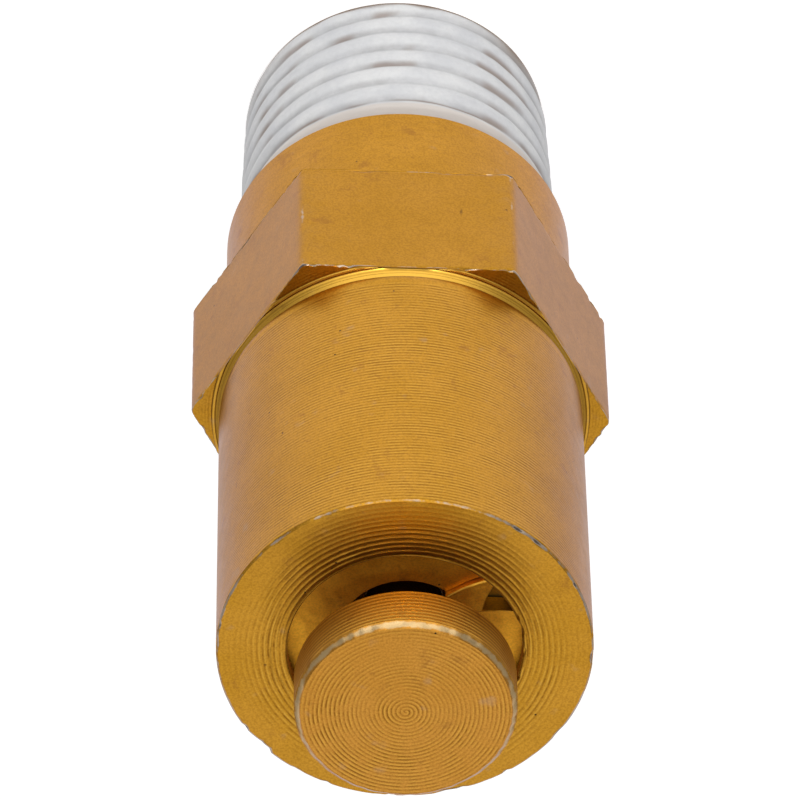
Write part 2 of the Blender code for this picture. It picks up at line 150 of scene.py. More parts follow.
def grid_mesh(name, points, closed_ends, attributes, sharp_degrees=32.0):
    """Mesh from an array (stations, azimuths, 3). Ends are closed by a fan, or the loop by itself."""
    stations, azimuths = points.shape[:2]
    vertices = points.reshape(-1, 3)
    index = np.arange(stations * azimuths).reshape(stations, azimuths)
    around = np.roll(index, -1, axis=1)
    if closed_ends == "loop":
        following = np.roll(index, -1, axis=0)
        following_around = np.roll(around, -1, axis=0)
        quads = np.stack([index, following, following_around, around], -1).reshape(-1, 4)
    else:
        quads = np.stack([index[:-1], index[1:], around[1:], around[:-1]], -1).reshape(-1, 4)
    fans = []
    if closed_ends == "fans":
        centers = [points[0].mean(axis=0), points[-1].mean(axis=0)]
        vertices = np.concatenate([vertices, centers])
        first = stations * azimuths
        fans.append(np.stack([index[0], around[0], np.full(azimuths, first)], -1))
        fans.append(np.stack([around[-1], index[-1], np.full(azimuths, first + 1)], -1))
    faces = [quads] + fans
    mesh = bpy.data.meshes.new(name)
    mesh.vertices.add(len(vertices))
    mesh.vertices.foreach_set("co", vertices.astype(np.float32).ravel())
    corners = np.concatenate([f.ravel() for f in faces])
    sizes = np.concatenate([np.full(len(f), f.shape[1]) for f in faces])
    mesh.loops.add(len(corners))
    mesh.loops.foreach_set("vertex_index", corners.astype(np.int32))
    mesh.polygons.add(len(sizes))
    starts = np.concatenate([[0], np.cumsum(sizes)[:-1]])
    mesh.polygons.foreach_set("loop_start", starts.astype(np.int32))
    mesh.update(calc_edges=True)
    mesh.validate()
    for key, values in attributes.items():
        flat = values.ravel()
        if closed_ends == "fans":
            flat = np.concatenate([flat, [values[0].mean(), values[-1].mean()]])
        layer = mesh.attributes.new(key, "FLOAT", "POINT")
        layer.data.foreach_set("value", flat.astype(np.float32))
    mesh.shade_smooth()
    mesh.set_sharp_from_angle(angle=math.radians(sharp_degrees))
    piece = bpy.data.objects.new(name, mesh)
    bpy.context.scene.collection.objects.link(piece)
    return piece


def place(piece, body, material, node):
    """Gives a new piece its material and body, and lets it stand for a CAD node."""
    piece.data.materials.append(material)
    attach(piece, body)
    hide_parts(node)


# ---------------------------------------------------------------- materials


class Nodes:
    """Thin wrapper that adds shader nodes and wires them by socket name."""

    def __init__(self, name):
        self.material = bpy.data.materials.new(name)
        self.material.use_nodes = True
        self.tree = self.material.node_tree
        self.shader = self.tree.nodes["Principled BSDF"]
        self.position = self.tree.nodes.new("ShaderNodeTexCoord").outputs["Object"]

    def wire(self, source, socket):
        if hasattr(source, "is_output"):
            self.tree.links.new(source, socket)
        else:
            socket.default_value = source

    def attribute(self, name):
        node = self.tree.nodes.new("ShaderNodeAttribute")
        node.attribute_name = name
        return node.outputs["Fac"]

    def noise(self, scale, detail=3.0, roughness=0.5, stretch=None, distortion=0.0):
        node = self.tree.nodes.new("ShaderNodeTexNoise")
        node.inputs["Scale"].default_value = scale
        node.inputs["Detail"].default_value = detail
        node.inputs["Roughness"].default_value = roughness
        node.inputs["Distortion"].default_value = distortion
        self.wire(self.stretched(stretch), node.inputs["Vector"])
        return node.outputs["Fac"]

    def stretched(self, stretch):
        if stretch is None:
            return self.position
        mapping = self.tree.nodes.new("ShaderNodeMapping")
        mapping.inputs["Scale"].default_value = stretch[:3]
        if len(stretch) > 3:
            mapping.inputs["Rotation"].default_value = stretch[3:]
        self.tree.links.new(self.position, mapping.inputs["Vector"])
        return mapping.outputs["Vector"]

    def cells(self, scale, stretch=None):
        node = self.tree.nodes.new("ShaderNodeTexVoronoi")
        node.inputs["Scale"].default_value = scale
        self.wire(self.stretched(stretch), node.inputs["Vector"])
        return node.outputs["Distance"]

    def ramp(self, source, low, high, to_low=0.0, to_high=1.0):
        node = self.tree.nodes.new("ShaderNodeMapRange")
        node.interpolation_type = "SMOOTHSTEP"
        node.inputs["From Min"].default_value = low
        node.inputs["From Max"].default_value = high
        node.inputs["To Min"].default_value = to_low
        node.inputs["To Max"].default_value = to_high
        self.wire(source, node.inputs["Value"])
        return node.outputs["Result"]

    def math(self, operation, a, b=0.0):
        node = self.tree.nodes.new("ShaderNodeMath")
        node.operation = operation
        self.wire(a, node.inputs[0])
        self.wire(b, node.inputs[1])
        return node.outputs[0]

    def mix(self, factor, a, b):
        node = self.tree.nodes.new("ShaderNodeMix")
        node.data_type = "RGBA"
        self.wire(factor, node.inputs[0])
        self.wire(a if hasattr(a, "is_output") else (*a, 1.0), node.inputs[6])
        self.wire(b if hasattr(b, "is_output") else (*b, 1.0), node.inputs[7])
        return node.outputs[2]

    def tint(self, color, mask, share, tone):
        """The colour, drawn towards a tone by share where the mask is 1."""
        return self.mix(self.math("MULTIPLY", mask, share), color, tone)

    def bump(self, height, strength, distance):
        node = self.tree.nodes.new("ShaderNodeBump")
        node.inputs["Strength"].default_value = strength
        node.inputs["Distance"].default_value = distance
        self.wire(height, node.inputs["Height"])
        self.wire(node.outputs["Normal"], self.shader.inputs["Normal"])

    def lathe_place(self):
        """Radius, height and turns round the axis of the shaded point."""
        node = self.tree.nodes.new("ShaderNodeSeparateXYZ")
        self.tree.links.new(self.position, node.inputs["Vector"])
        x, y, z = (node.outputs[axis] for axis in "XYZ")
        square = self.math("ADD", self.math("MULTIPLY", x, x), self.math("MULTIPLY", y, y))
        turns = self.math("DIVIDE", self.math("ARCTAN2", y, x), TURN)
        return self.math("SQRT", square), z, turns

    def cut_lines(self, phase, wobble, narrow):
        """Lines left by the cutter: 1 in the middle of each trough, 0 between."""
        shifted = self.math("ADD", phase, wobble)
        middle = self.math("ABSOLUTE", self.math("SUBTRACT", self.math("FRACT", shifted), 0.5))
        return self.ramp(middle, 0.5 * narrow, 0.0)

    def tool_marks(self, feed):
        """Spiral lines on the faced ends and helical ones on the turned sides: painted shade in the troughs
        and a painted highlight beside them.
        """
        radius, height, turns = self.lathe_place()
        wander = self.math("MULTIPLY", self.noise(700.0, 2.0), 0.30)
        facing = self.math("ADD", self.math("DIVIDE", radius, feed), turns)
        turning = self.math("SUBTRACT", self.math("DIVIDE", height, BARREL_FEED), turns)
        highlight_wander = self.math("ADD", wander, 0.42)
        lines = []
        for shift, narrow in ((wander, 0.60), (highlight_wander, 0.50)):
            faced = self.math("MULTIPLY", self.cut_lines(facing, shift, narrow), self.attribute("faced"))
            turned = self.math("MULTIPLY", self.cut_lines(turning, shift, narrow), self.attribute("turned"))
            lines.append(self.math("ADD", faced, turned))
        return lines

    def set(self, **values):
        """Sets or wires the shader's sockets, named as keywords."""
        for key, value in values.items():
            self.wire(value, self.shader.inputs[key.replace("_", " ").title()])


# The dyed coat, what lies on it, its painted highlight and shade, and the bare metal under it
GOLD = (0.498, 0.242, 0.020)
GOLD_DEEP = (0.18, 0.072, 0.006)
GOLD_PALE = (0.540, 0.265, 0.028)
# Painted highlight colour, for the cusps, the ledge's lands and the ring's end edge.
PAINTED_HIGHLIGHT_GOLD = (0.70, 0.405, 0.060)
BARE_METAL = (0.47, 0.42, 0.37)
HEAD_GOLD = (0.525, 0.236, 0.034)
HEAD_PALE = (0.560, 0.256, 0.042)
HEAD_BARE = (0.62, 0.50, 0.28)
RING_GOLD = (0.82, 0.39, 0.032)
RING_PALE = (0.95, 0.48, 0.042)
RING_DEEP = (0.36, 0.14, 0.010)
# Painted shade tone, mottled, for the flats beside the front
SIDE_FLAT_SHADE_FILM = (0.26, 0.19, 0.12)
DRY_STAIN = (0.34, 0.28, 0.22)
BROWN_SPOT = (0.26, 0.105, 0.02)
SCRATCH_BROWN = (0.10, 0.045, 0.012)
DARK_PIT = (0.055, 0.03, 0.012)
EDGE_DIRT = (0.10, 0.085, 0.08)
GLANCING_TINT = (0.70, 0.67, 0.80, 1.0)

# The dry sealant, its dirt, and the painted shade on its sides and in its valleys
PASTE_GREY = (0.56, 0.565, 0.58)
PASTE_WHITE = (0.66, 0.66, 0.66)
BRISTLE_GREY = (0.40, 0.40, 0.41)
SIDE_SHADE_GREY = (0.30, 0.30, 0.32)
VALLEY_SHADE_AND_DIRT_GREY = (0.26, 0.255, 0.26)
VALLEY_BROWN = (0.20, 0.125, 0.08)
END_BROWN = (0.15, 0.085, 0.04)
PALE_DUST = (0.58, 0.52, 0.47)

# Height of the bumps that a material adds
FINE_BUMP = 0.01 * MM
PASTE_BUMP = 0.06 * MM


def dyed_coat(n, base, pale, deep):
    """Blotchy, finely grained colour of the dyed layer."""
    blotch = n.ramp(n.noise(260.0, 4.0, 0.6), 0.35, 0.65)
    grain = n.ramp(n.noise(11000.0, 2.0, 0.6), 0.35, 0.7)
    return n.tint(n.mix(blotch, base, pale), grain, 0.34, deep)


def marked_coat(n, color, deep, feed):
    """Tool marks of painted shade and painted highlight, broken along their length, then painted shade and
    dirt, painted highlights, and the mottled painted shade of the side flats.
    """
    trough_shade_lines, highlight_lines = n.tool_marks(feed)
    broken = n.ramp(n.noise(1700.0, 4.0, 0.7), 0.36, 0.62, 0.25, 1.0)
    # Painted shade in the troughs of the tool marks.
    color = n.tint(color, n.math("MULTIPLY", trough_shade_lines, broken), 0.95, deep)
    # Painted highlight beside each trough, on the cusps.
    color = n.tint(color, n.math("MULTIPLY", highlight_lines, broken), 0.62, PAINTED_HIGHLIGHT_GOLD)
    # Painted shade in troughs, creases and recesses and on the barrel's sides and the flats, and real
    # smudges and dirt, from one mark.
    color = n.tint(color, n.attribute("groove"), 0.55, deep)
    # Painted highlight: lighter gold where its mark is set.
    color = n.mix(n.attribute("polish"), color, PAINTED_HIGHLIGHT_GOLD)
    mottled = n.ramp(n.noise(1500.0, 5.0, 0.7), 0.30, 0.75)
    # Painted shade, mottled, where the side-flat mark is set.
    return n.tint(color, n.attribute("dull"), mottled, SIDE_FLAT_SHADE_FILM)


def stained_coat(n, color):
    """Dry stains, brown spots and short scratches."""
    stain = n.ramp(n.noise(900.0, 2.0, 0.5), 0.66, 0.80)
    color = n.tint(color, stain, 0.22, DRY_STAIN)
    spot = n.ramp(n.noise(820.0, 5.0, 0.72, distortion=0.3), 0.58, 0.70)
    color = n.tint(color, spot, 0.40, BROWN_SPOT)
    line = n.ramp(n.cells(620.0, stretch=(1.0, 1.0, 0.22, 0.5, 0.2, 0.7)), 0.050, 0.020)
    patch = n.ramp(n.noise(380.0, 2.0), 0.52, 0.60)
    return n.tint(color, n.math("MULTIPLY", line, patch), 0.7, SCRATCH_BROWN)


def pits(n):
    """Where small pits go through the coat, in patches."""
    dot = n.ramp(n.cells(1150.0), 0.070, 0.035)
    patch = n.ramp(n.noise(420.0, 1.0), 0.52, 0.60)
    return n.math("MULTIPLY", dot, patch)


def worn_coat(n, color, bare, bare_share, dirt_share):
    """Bare metal where an edge and its noise add up, and dirt where they add up to more."""
    wear_noise = n.noise(2600.0, 4.0, 0.65)
    wear = n.ramp(n.math("ADD", n.attribute("edge"), n.math("MULTIPLY", wear_noise, 0.9)), 1.00, 1.32)
    color = n.tint(color, wear, bare_share, bare)
    dirt_noise = n.noise(1900.0, 3.0, 0.6)
    dirt = n.ramp(n.math("ADD", n.attribute("edge"), n.math("MULTIPLY", dirt_noise, 0.9)), 1.36, 1.52)
    return n.tint(color, dirt, dirt_share, EDGE_DIRT)


def gold_material(
    name, base, pale, deep, roughness, bare=BARE_METAL, bare_share=0.78, dirt_share=0.85, feed=FEED
):
    """Dyed, coated metal: blotchy gold, painted shade and highlight in the tool marks, bare metal on worn
    edges.
    """
    n = Nodes(name)
    color = dyed_coat(n, base, pale, deep)
    color = marked_coat(n, color, deep, feed)
    color = stained_coat(n, color)
    pit = pits(n)
    color = n.mix(pit, color, DARK_PIT)
    color = worn_coat(n, color, bare, bare_share, dirt_share)
    rough = n.math("ADD", roughness, n.math("MULTIPLY", n.noise(1500.0, 3.0, 0.6), 0.14))
    n.set(base_color=color, metallic=1.0, roughness=rough)
    n.shader.inputs["Specular Tint"].default_value = GLANCING_TINT
    fine = n.math("ADD", n.noise(7000.0, 3.0, 0.6), n.math("MULTIPLY", pit, -2.0))
    n.bump(fine, 0.35, FINE_BUMP)
    return n.material


def sealant_material():
    """Dry brushed sealant: off-white ridges, painted shade with grey and brown dirt in the valleys, and
    painted shade on the sides.
    """
    n = Nodes("dry_sealant_paint")
    soft = n.ramp(n.noise(500.0, 4.0, 0.6), 0.3, 0.7)
    color = n.mix(soft, PASTE_GREY, PASTE_WHITE)
    bristles = n.ramp(n.noise(4200.0, 3.0, 0.7), 0.35, 0.70)
    color = n.tint(color, bristles, 0.16, BRISTLE_GREY)
    # Painted shade: greyer on the sides away from the front.
    color = n.tint(color, n.attribute("grime"), 0.30, SIDE_SHADE_GREY)
    # Painted shade and grey dirt in the valleys, patchy but present in every valley.
    valley_shade_and_dirt_where = n.ramp(n.noise(330.0, 4.0, 0.65), 0.35, 0.65, 0.35, 1.0)
    color = n.tint(color, n.math("MULTIPLY", n.attribute("groove"), valley_shade_and_dirt_where), 0.56, VALLEY_SHADE_AND_DIRT_GREY)
    brown_where = n.ramp(n.noise(300.0, 2.0, 0.5), 0.55, 0.66)
    color = n.tint(color, n.math("MULTIPLY", n.attribute("groove"), brown_where), 0.55, VALLEY_BROWN)
    color = n.mix(n.attribute("edge"), color, END_BROWN)
    color = n.tint(color, n.attribute("dust"), 0.8, PALE_DUST)
    n.set(base_color=color, metallic=0.0, roughness=0.78)
    n.shader.inputs["Specular IOR Level"].default_value = 0.25
    lumps = n.math("ADD", n.noise(1100.0, 5.0, 0.6), n.math("MULTIPLY", n.noise(6000.0, 2.0), 0.35))
    n.bump(lumps, 0.4, PASTE_BUMP)
    return n.material


def metal_material(name, low, high, roughness, brushed):
    """Plain machined metal with fine rings or brushing and slight colour variation."""
    n = Nodes(name)
    blotch = n.ramp(n.noise(420.0, 3.0, 0.6), 0.3, 0.7)
    lines = n.noise(900.0, 3.0, 0.6, stretch=brushed)
    rough = n.math("ADD", roughness, n.math("MULTIPLY", lines, 0.18))
    n.set(base_color=n.mix(blotch, low, high), metallic=1.0, roughness=rough)
    n.bump(lines, 0.3, FINE_BUMP)
    return n.material


def soft_material(name, low, high, roughness, scale):
    """Rubber or plastic with a fine moulded texture."""
    n = Nodes(name)
    cloud = n.ramp(n.noise(scale * 0.2, 3.0, 0.6), 0.3, 0.7)
    grain = n.noise(scale, 3.0, 0.6)
    rough = n.math("ADD", roughness, n.math("MULTIPLY", grain, 0.15))
    n.set(base_color=n.mix(cloud, low, high), metallic=0.0, roughness=rough)
    n.bump(grain, 0.4, FINE_BUMP)
    return n.material


# ---------------------------------------------------------------- turned surfaces


class Lathe:
    """Stations of a turned outline: each has a radius, a height and the name of its stretch."""

    def __init__(self):
        self.radius = []
        self.height = []
        self.zone = []
        self.share = []

    def line(self, zone, start, end, step):
        """A straight stretch from start up to, but not including, end, both (radius, height)."""
        length = math.hypot(end[0] - start[0], end[1] - start[1])
        count = max(1, math.ceil(length / step))
        for i in range(count):
            t = i / count
            self.radius.append(start[0] + (end[0] - start[0]) * t)
            self.height.append(start[1] + (end[1] - start[1]) * t)
            self.zone.append(zone)
            self.share.append(t)

    def path(self, zone, points, step):
        for start, end in zip(points, points[1:]):
            self.line(zone, start, end, step)


class Surface:
    """A turned outline swept round the axis: arrays over stations and azimuths, and its marks."""

    def __init__(self, lathe, azimuths, marks):
        """The azimuths are one row of angles. Every named mark starts at 0."""
        self.radius = np.array(lathe.radius)[:, None] + 0.0 * azimuths
        self.height = np.array(lathe.height)[:, None] + 0.0 * azimuths
        self.share = np.array(lathe.share)[:, None] + 0.0 * azimuths
        self.angle = azimuths + 0.0 * self.radius
        self.zone = np.array(lathe.zone)
        self.marks = {mark: np.zeros_like(self.radius) for mark in marks}

    def on(self, *zones):
        """Which stations lie on the named stretches."""
        return np.isin(self.zone, zones)

    def noise(self, seed, around, along, spacing, coordinate):
        """Smooth noise round the piece and along a coordinate, such as the height."""
        return PeriodicNoise(seed, around, along, spacing)(self.angle, coordinate)

    def piece(self, name, closed_ends, sharp_degrees=32.0):
        """The mesh of this surface, with its marks as attributes."""
        points = rings(self.radius, self.height, self.angle)
        return grid_mesh(name, points, closed_ends, self.marks, sharp_degrees)


def even_azimuths(count):
    """One row of evenly spaced azimuths."""
    return np.linspace(0.0, TURN, count, endpoint=False)[None, :]


def rings(radius, height, angle):
    """Points at the given radius, height and azimuth."""
    return np.stack([radius * np.cos(angle), radius * np.sin(angle), height], -1)


def scallop(phase):
    """Cutter marks: round-bottomed troughs with a cusp between, 0 in the trough and 1 on the cusp."""
    t = phase - np.floor(phase) - 0.5
    return 4.0 * t * t


def chips(pattern, threshold):
    """Where noise passes the threshold, how deep the chip is, 0 to 1."""
    return smooth(threshold, threshold + 0.45, pattern)


def inner_bore(lathe):
    """From the inlet end up through the bore to the foot of the barrel."""
    lathe.path(
        "bore",
        [
            (THREAD_END_R - THREAD_DEPTH * 0.6, 0.0),
            (INLET_R + 0.1 * MM, 0.0),
            (INLET_R, 0.1 * MM),
            (INLET_R, SNAP_GROOVE_LOW_Z),
            (SNAP_GROOVE_R, SNAP_GROOVE_LOW_Z),
            (SNAP_GROOVE_R, SNAP_GROOVE_HIGH_Z),
            (INLET_R, SNAP_GROOVE_HIGH_Z),
            (INLET_R, SCREEN_SHOULDER_Z),
            (POPPET_BORE_R, SCREEN_SHOULDER_Z),
            (POPPET_BORE_R, SEAT_SHOULDER_Z),
            (CHAMBER_R, SEAT_SHOULDER_Z),
            (CHAMBER_R, BARREL_BASE_Z),
        ],
        0.8 * MM,
    )


# ---------------------------------------------------------------- front half of the body


def barrel_outline():
    """Bore mouth, end face, barrel, the grooved ledge at its root, and back up through the bore."""
    lathe = Lathe()
    root = BARREL_BASE_Z
    barrel_end = root + ROOT_LENGTH
    mouth = MOUTH_CHAMFER
    rim = RIM_CHAMFER
    edge = 0.045 * MM
    ledge_top = 0.60
    ledge_reach = 0.34
    overlap = 0.01
    lathe.line("mouth", (CHAMBER_R, FACE_Z - mouth), (CHAMBER_R + mouth, FACE_Z), edge)
    lathe.line("face", (CHAMBER_R + mouth, FACE_Z), (BARREL_R - rim, FACE_Z), FEED / FINE_STATIONS)
    lathe.line("rim", (BARREL_R - rim, FACE_Z), (BARREL_R, FACE_Z - rim), edge)
    lathe.line("barrel", (BARREL_R, FACE_Z - rim), (BARREL_R, barrel_end), BARREL_FEED / BARREL_STATIONS)
    lathe.line("root", (BARREL_R, barrel_end), (BARREL_R, root + ledge_top * MM), 0.25 * MM)

    # The ledge's grooves and lands, in mm out from the barrel and up from the hexagon
    ledge = [
        (0.0, ledge_top),
        (-0.02, 0.55),
        (-0.09, 0.49),
        (-0.09, 0.46),
        (0.015, 0.355),
        (0.015, 0.335),
        (-0.03, 0.305),
        (-0.03, 0.275),
        (0.10, 0.145),
        (0.145, 0.13),
        (0.165, 0.07),
        (0.185, 0.07),
        (0.205, 0.12),
        (0.29, 0.11),
        (0.33, 0.07),
        (ledge_reach, -overlap),
    ]
    lathe.path("root", [(BARREL_R + r * MM, root + z * MM) for r, z in ledge], 0.03 * MM)
    inside = [
        (BARREL_R + ledge_reach * MM, root - overlap * MM),
        (CHAMBER_R, root - overlap * MM),
        (CHAMBER_R, RING_GROOVE_LOW_Z),
        (RING_GROOVE_R, RING_GROOVE_LOW_Z),
        (RING_GROOVE_R, RING_GROOVE_HIGH_Z),
        (CHAMBER_R, RING_GROOVE_HIGH_Z),
        (CHAMBER_R, FACE_Z - mouth),
    ]
    lathe.path("bore", inside, 2.0 * MM)
    return lathe


def mark_end_face(s):
    """Spiral facing marks, deep beside the bore and fading outwards, and one smudge."""
    face = s.on("face")
    out = (s.radius - CHAMBER_R) / (BARREL_R - CHAMBER_R)
    patchy = s.noise(3, 11, 64, 0.7 * MM, s.radius)
    strong = (1.0 - smooth(0.25, 0.85, out)) * (0.75 + 0.45 * patchy)
    depth = (0.004 + 0.020 * np.clip(strong, 0.0, 1.2)) * MM
    wobble = s.noise(4, 5, 64, 0.23 * MM, s.radius) * 0.10
    mark = scallop(s.radius / FEED + s.angle / TURN + wobble)
    s.height[face] += (depth * (mark - 1.0))[face]
    s.marks["faced"][face] = np.clip(0.10 + 0.95 * strong, 0.10, 1.0)[face]
    smudge_angle = 5.08
    smudge = bell(s.angle - smudge_angle, 0.62) * smooth(0.42, 0.62, out)
    smudge *= 1.0 - 0.4 * smooth(0.9, 1.0, out)
    s.marks["groove"][face] = (0.55 * smudge * (0.8 + 0.5 * patchy))[face]


def mark_barrel(s):
    """Helical turning marks, and two stretches to either side of the front darkened as painted shade."""
    barrel = s.on("barrel")
    patchy = s.noise(5, 13, 64, 1.9 * MM, s.height)
    line_strength = s.noise(6, 3, 128, BARREL_FEED, s.height)
    wobble = s.noise(7, 7, 64, 0.4 * MM, s.height) * 0.06
    mark = scallop(s.height / BARREL_FEED - s.angle / TURN + wobble)
    depth = 0.0065 * MM * np.clip(0.85 + 0.2 * patchy + 0.25 * line_strength, 0.3, 1.4)
    s.radius[barrel] += (depth * (mark - 1.0))[barrel]
    s.marks["turned"][barrel] = np.clip(0.72 + 0.22 * patchy + 0.12 * line_strength, 0.3, 1.0)[barrel]
    # Painted shade: two darker bands on the barrel to either side of the front.
    left_angle = 3.83
    right_angle = 5.55
    barrel_side_shade = 0.36 * bell(s.angle - left_angle, 0.26) + 0.22 * bell(s.angle - right_angle, 0.26)
    s.marks["groove"][barrel] = (barrel_side_shade * (0.85 + 0.5 * patchy))[barrel]


def knock_rim(s):
    """Chipped outer edge of the face, worn to bare metal, with one larger ding."""
    outer = s.on("face", "barrel", "rim")
    to_rim = np.hypot(s.radius - BARREL_R, s.height - FACE_Z)
    near_rim = bell(to_rim, 0.12 * MM)
    chip = chips(s.noise(8, 150, 32, 0.25 * MM, s.height + s.radius), 0.25)
    chip += 0.7 * chips(s.noise(9, 61, 32, 0.6 * MM, s.height + s.radius), 0.45)
    s.radius[outer] -= (0.09 * MM * near_rim * chip)[outer]
    s.height[outer] -= (0.08 * MM * near_rim * chip)[outer]
    ding = span(s.angle, 0.58, 0.76, 0.795, 0.82)
    s.radius[outer] -= (0.13 * MM * bell(to_rim, 0.35 * MM) * ding)[outer]
    worn = s.noise(10, 23, 32, 0.8 * MM, s.height + s.radius)
    s.marks["edge"][outer] = (near_rim * (0.98 + 0.34 * worn + 0.50 * np.clip(chip, 0.0, 1.0)))[outer]


def tear_mouth(s):
    """Ragged edge of the bore along one torn stretch."""
    mouth = s.on("face", "mouth")
    near_mouth = bell(np.hypot(s.radius - CHAMBER_R, s.height - FACE_Z), 0.10 * MM)
    torn = span(s.angle, 2.7, 2.9, 3.5, 3.7)
    tear = chips(s.noise(11, 170, 32, 0.2 * MM, s.height + s.radius), 0.1) * torn
    s.radius[mouth] += (0.09 * MM * near_mouth * tear)[mouth]
    s.height[mouth] -= (0.05 * MM * near_mouth * tear)[mouth]


def mark_ledge(s):
    """Painted shade in the ledge's grooves and along its low edge, and a painted highlight on its lands,
    strongest towards the front.
    """
    root = s.on("root")
    out = (s.radius - BARREL_R) / MM
    up = (s.height - BARREL_BASE_Z) / MM
    thin_grooves = bell(out - 0.175, 0.02) + (bell(up - 0.32, 0.03) + 0.7 * bell(up - 0.20, 0.02))
    low_edge = smooth(0.29, 0.33, out)
    dark = np.clip(np.maximum(thin_grooves, low_edge), 0.0, 1.0)
    # Painted shade in the thin grooves and below the low edge.
    s.marks["groove"][root] = (1.3 * dark)[root]
    # Painted highlight on the lands, brighter towards the front.
    toward_front = 0.45 + 0.55 * bell(s.angle - FRONT_ANGLE, 0.8)
    land = 1.0 - smooth(0.46, 0.52, up)
    s.marks["polish"][root] = (0.85 * toward_front * land * (1.0 - dark))[root]


def build_barrel(material):
    """Front half of the body: bore mouth, faced end, turned barrel and the ledge at its root."""
    s = Surface(barrel_outline(), even_azimuths(192), ("groove", "edge", "faced", "turned", "polish"))
    mark_end_face(s)
    mark_barrel(s)
    knock_rim(s)
    tear_mouth(s)
    mark_ledge(s)
    s.radius = np.minimum(s.radius, hex_radius(s.angle))
    # Painted shade: the seat of the retaining ring in the bore made very dark.
    margin = 0.1 * MM
    ring_groove = s.on("bore")[:, None] & (s.radius > RING_GROOVE_R - margin)
    s.marks["groove"][ring_groove & (s.height > RING_GROOVE_LOW_Z - margin)] = 1.7
    place(s.piece("body_barrel", "loop"), "housing", material, "body")


# ---------------------------------------------------------------- rear half of the body


def hex_radius(angle):
    """Outline of the hexagon at each azimuth, its corners slightly rounded."""
    sharpness = 75.0
    total = 0.0
    for k in range(6):
        reach = np.clip(np.cos(angle - TURN * (k + 0.5) / 6.0) / HEX_FLAT_R, 1e-9, None)
        total = total + (reach * MM) ** sharpness
    return MM * total ** (-1.0 / sharpness)


HEX_ROOT_R = BARREL_R - 0.07 * MM


def hexagon_outline():
    """Hexagon's front, flats and back, the neck, the thread's core, and up through the bore."""
    lathe = Lathe()
    top = BARREL_BASE_Z
    low = HEX_BASE_Z
    corner = HEX_CORNER_R
    edge = 0.05 * MM
    bevel = 0.07 * MM
    border = 0.5 * MM
    neck_round = 0.2 * MM
    lathe.line("front", (HEX_ROOT_R, top), (corner, top), 0.028 * MM)
    lathe.line("front_edge", (corner, top), (corner, top - bevel), edge / 2.0)
    lathe.line("flats", (corner, top - bevel), (corner, top - border), edge)
    lathe.line("flats", (corner, top - border), (corner, low + border), 0.2 * MM)
    lathe.line("flats", (corner, low + border), (corner, low + bevel), edge)
    lathe.line("back_edge", (corner, low + bevel), (corner, low), edge / 2.0)
    lathe.line("back", (corner, low), (NECK_R, low), 0.1 * MM)
    lathe.line("neck", (NECK_R, low), (NECK_R, NECK_BASE_Z + neck_round), 0.12 * MM)
    lathe.line("neck", (NECK_R, NECK_BASE_Z + neck_round), (NECK_R - neck_round, NECK_BASE_Z), edge)
    thread_top = (THREAD_END_R + NECK_BASE_Z * THREAD_TAPER - THREAD_DEPTH * 0.5, NECK_BASE_Z)
    lathe.line("step", (NECK_R - neck_round, NECK_BASE_Z), thread_top, 0.2 * MM)
    lathe.line("thread", thread_top, (THREAD_END_R - THREAD_DEPTH * 0.6, 0.0), 0.12 * MM)
    inner_bore(lathe)
    lathe.line("bore", (CHAMBER_R, top), (HEX_ROOT_R, top), 0.8 * MM)
    return lathe


def shape_hexagon(s, outline):
    """Turns the round stations of the hexagon into its six-sided outline."""
    front = s.on("front")
    flats = s.on("flats")
    back = s.on("back")
    edges = s.on("front_edge", "back_edge")
    s.radius[flats] = outline[flats]
    s.radius[front] = (HEX_ROOT_R + (outline - HEX_ROOT_R) * s.share)[front]
    s.radius[back] = (NECK_R + (outline - NECK_R) * (1.0 - s.share))[back]
    softened = np.where(s.on("front_edge")[:, None], 1.0 - s.share, s.share)
    s.radius[edges] = (outline - 0.045 * MM * softened**2)[edges]


def mark_hexagon(s):
    """Concentric turned grooves on the front with painted shade in their troughs, slight waves on the flats,
    painted shade over all flats, and mottled painted shade on every flat but the front one.
    """
    front = s.on("front")
    flats = s.on("flats")
    groove_pitch = 0.14 * MM
    mark = scallop((s.radius - BARREL_R) / groove_pitch + 0.35)
    near_root = bell(s.radius - BARREL_R, 1.1 * MM)
    s.height[front] -= (0.014 * MM * near_root * (1.0 - mark))[front]
    # Painted shade in the troughs of the front's grooves, strongest near the barrel.
    s.marks["groove"][front] = (0.28 * near_root * (1.0 - mark))[front]
    wave = s.noise(22, 31, 64, 1.3 * MM, s.height)
    s.radius[flats] += (0.004 * MM * (wave - 1.0))[flats]
    # Painted shade: every flat a little darker.
    s.marks["groove"][flats] = 0.36
    # Painted shade, mottled: every flat but the front one.
    beside = 1.0 - np.exp(-(((s.angle - FRONT_ANGLE) / 0.55) ** 6))
    s.marks["dull"][flats] = (0.26 * beside)[flats]


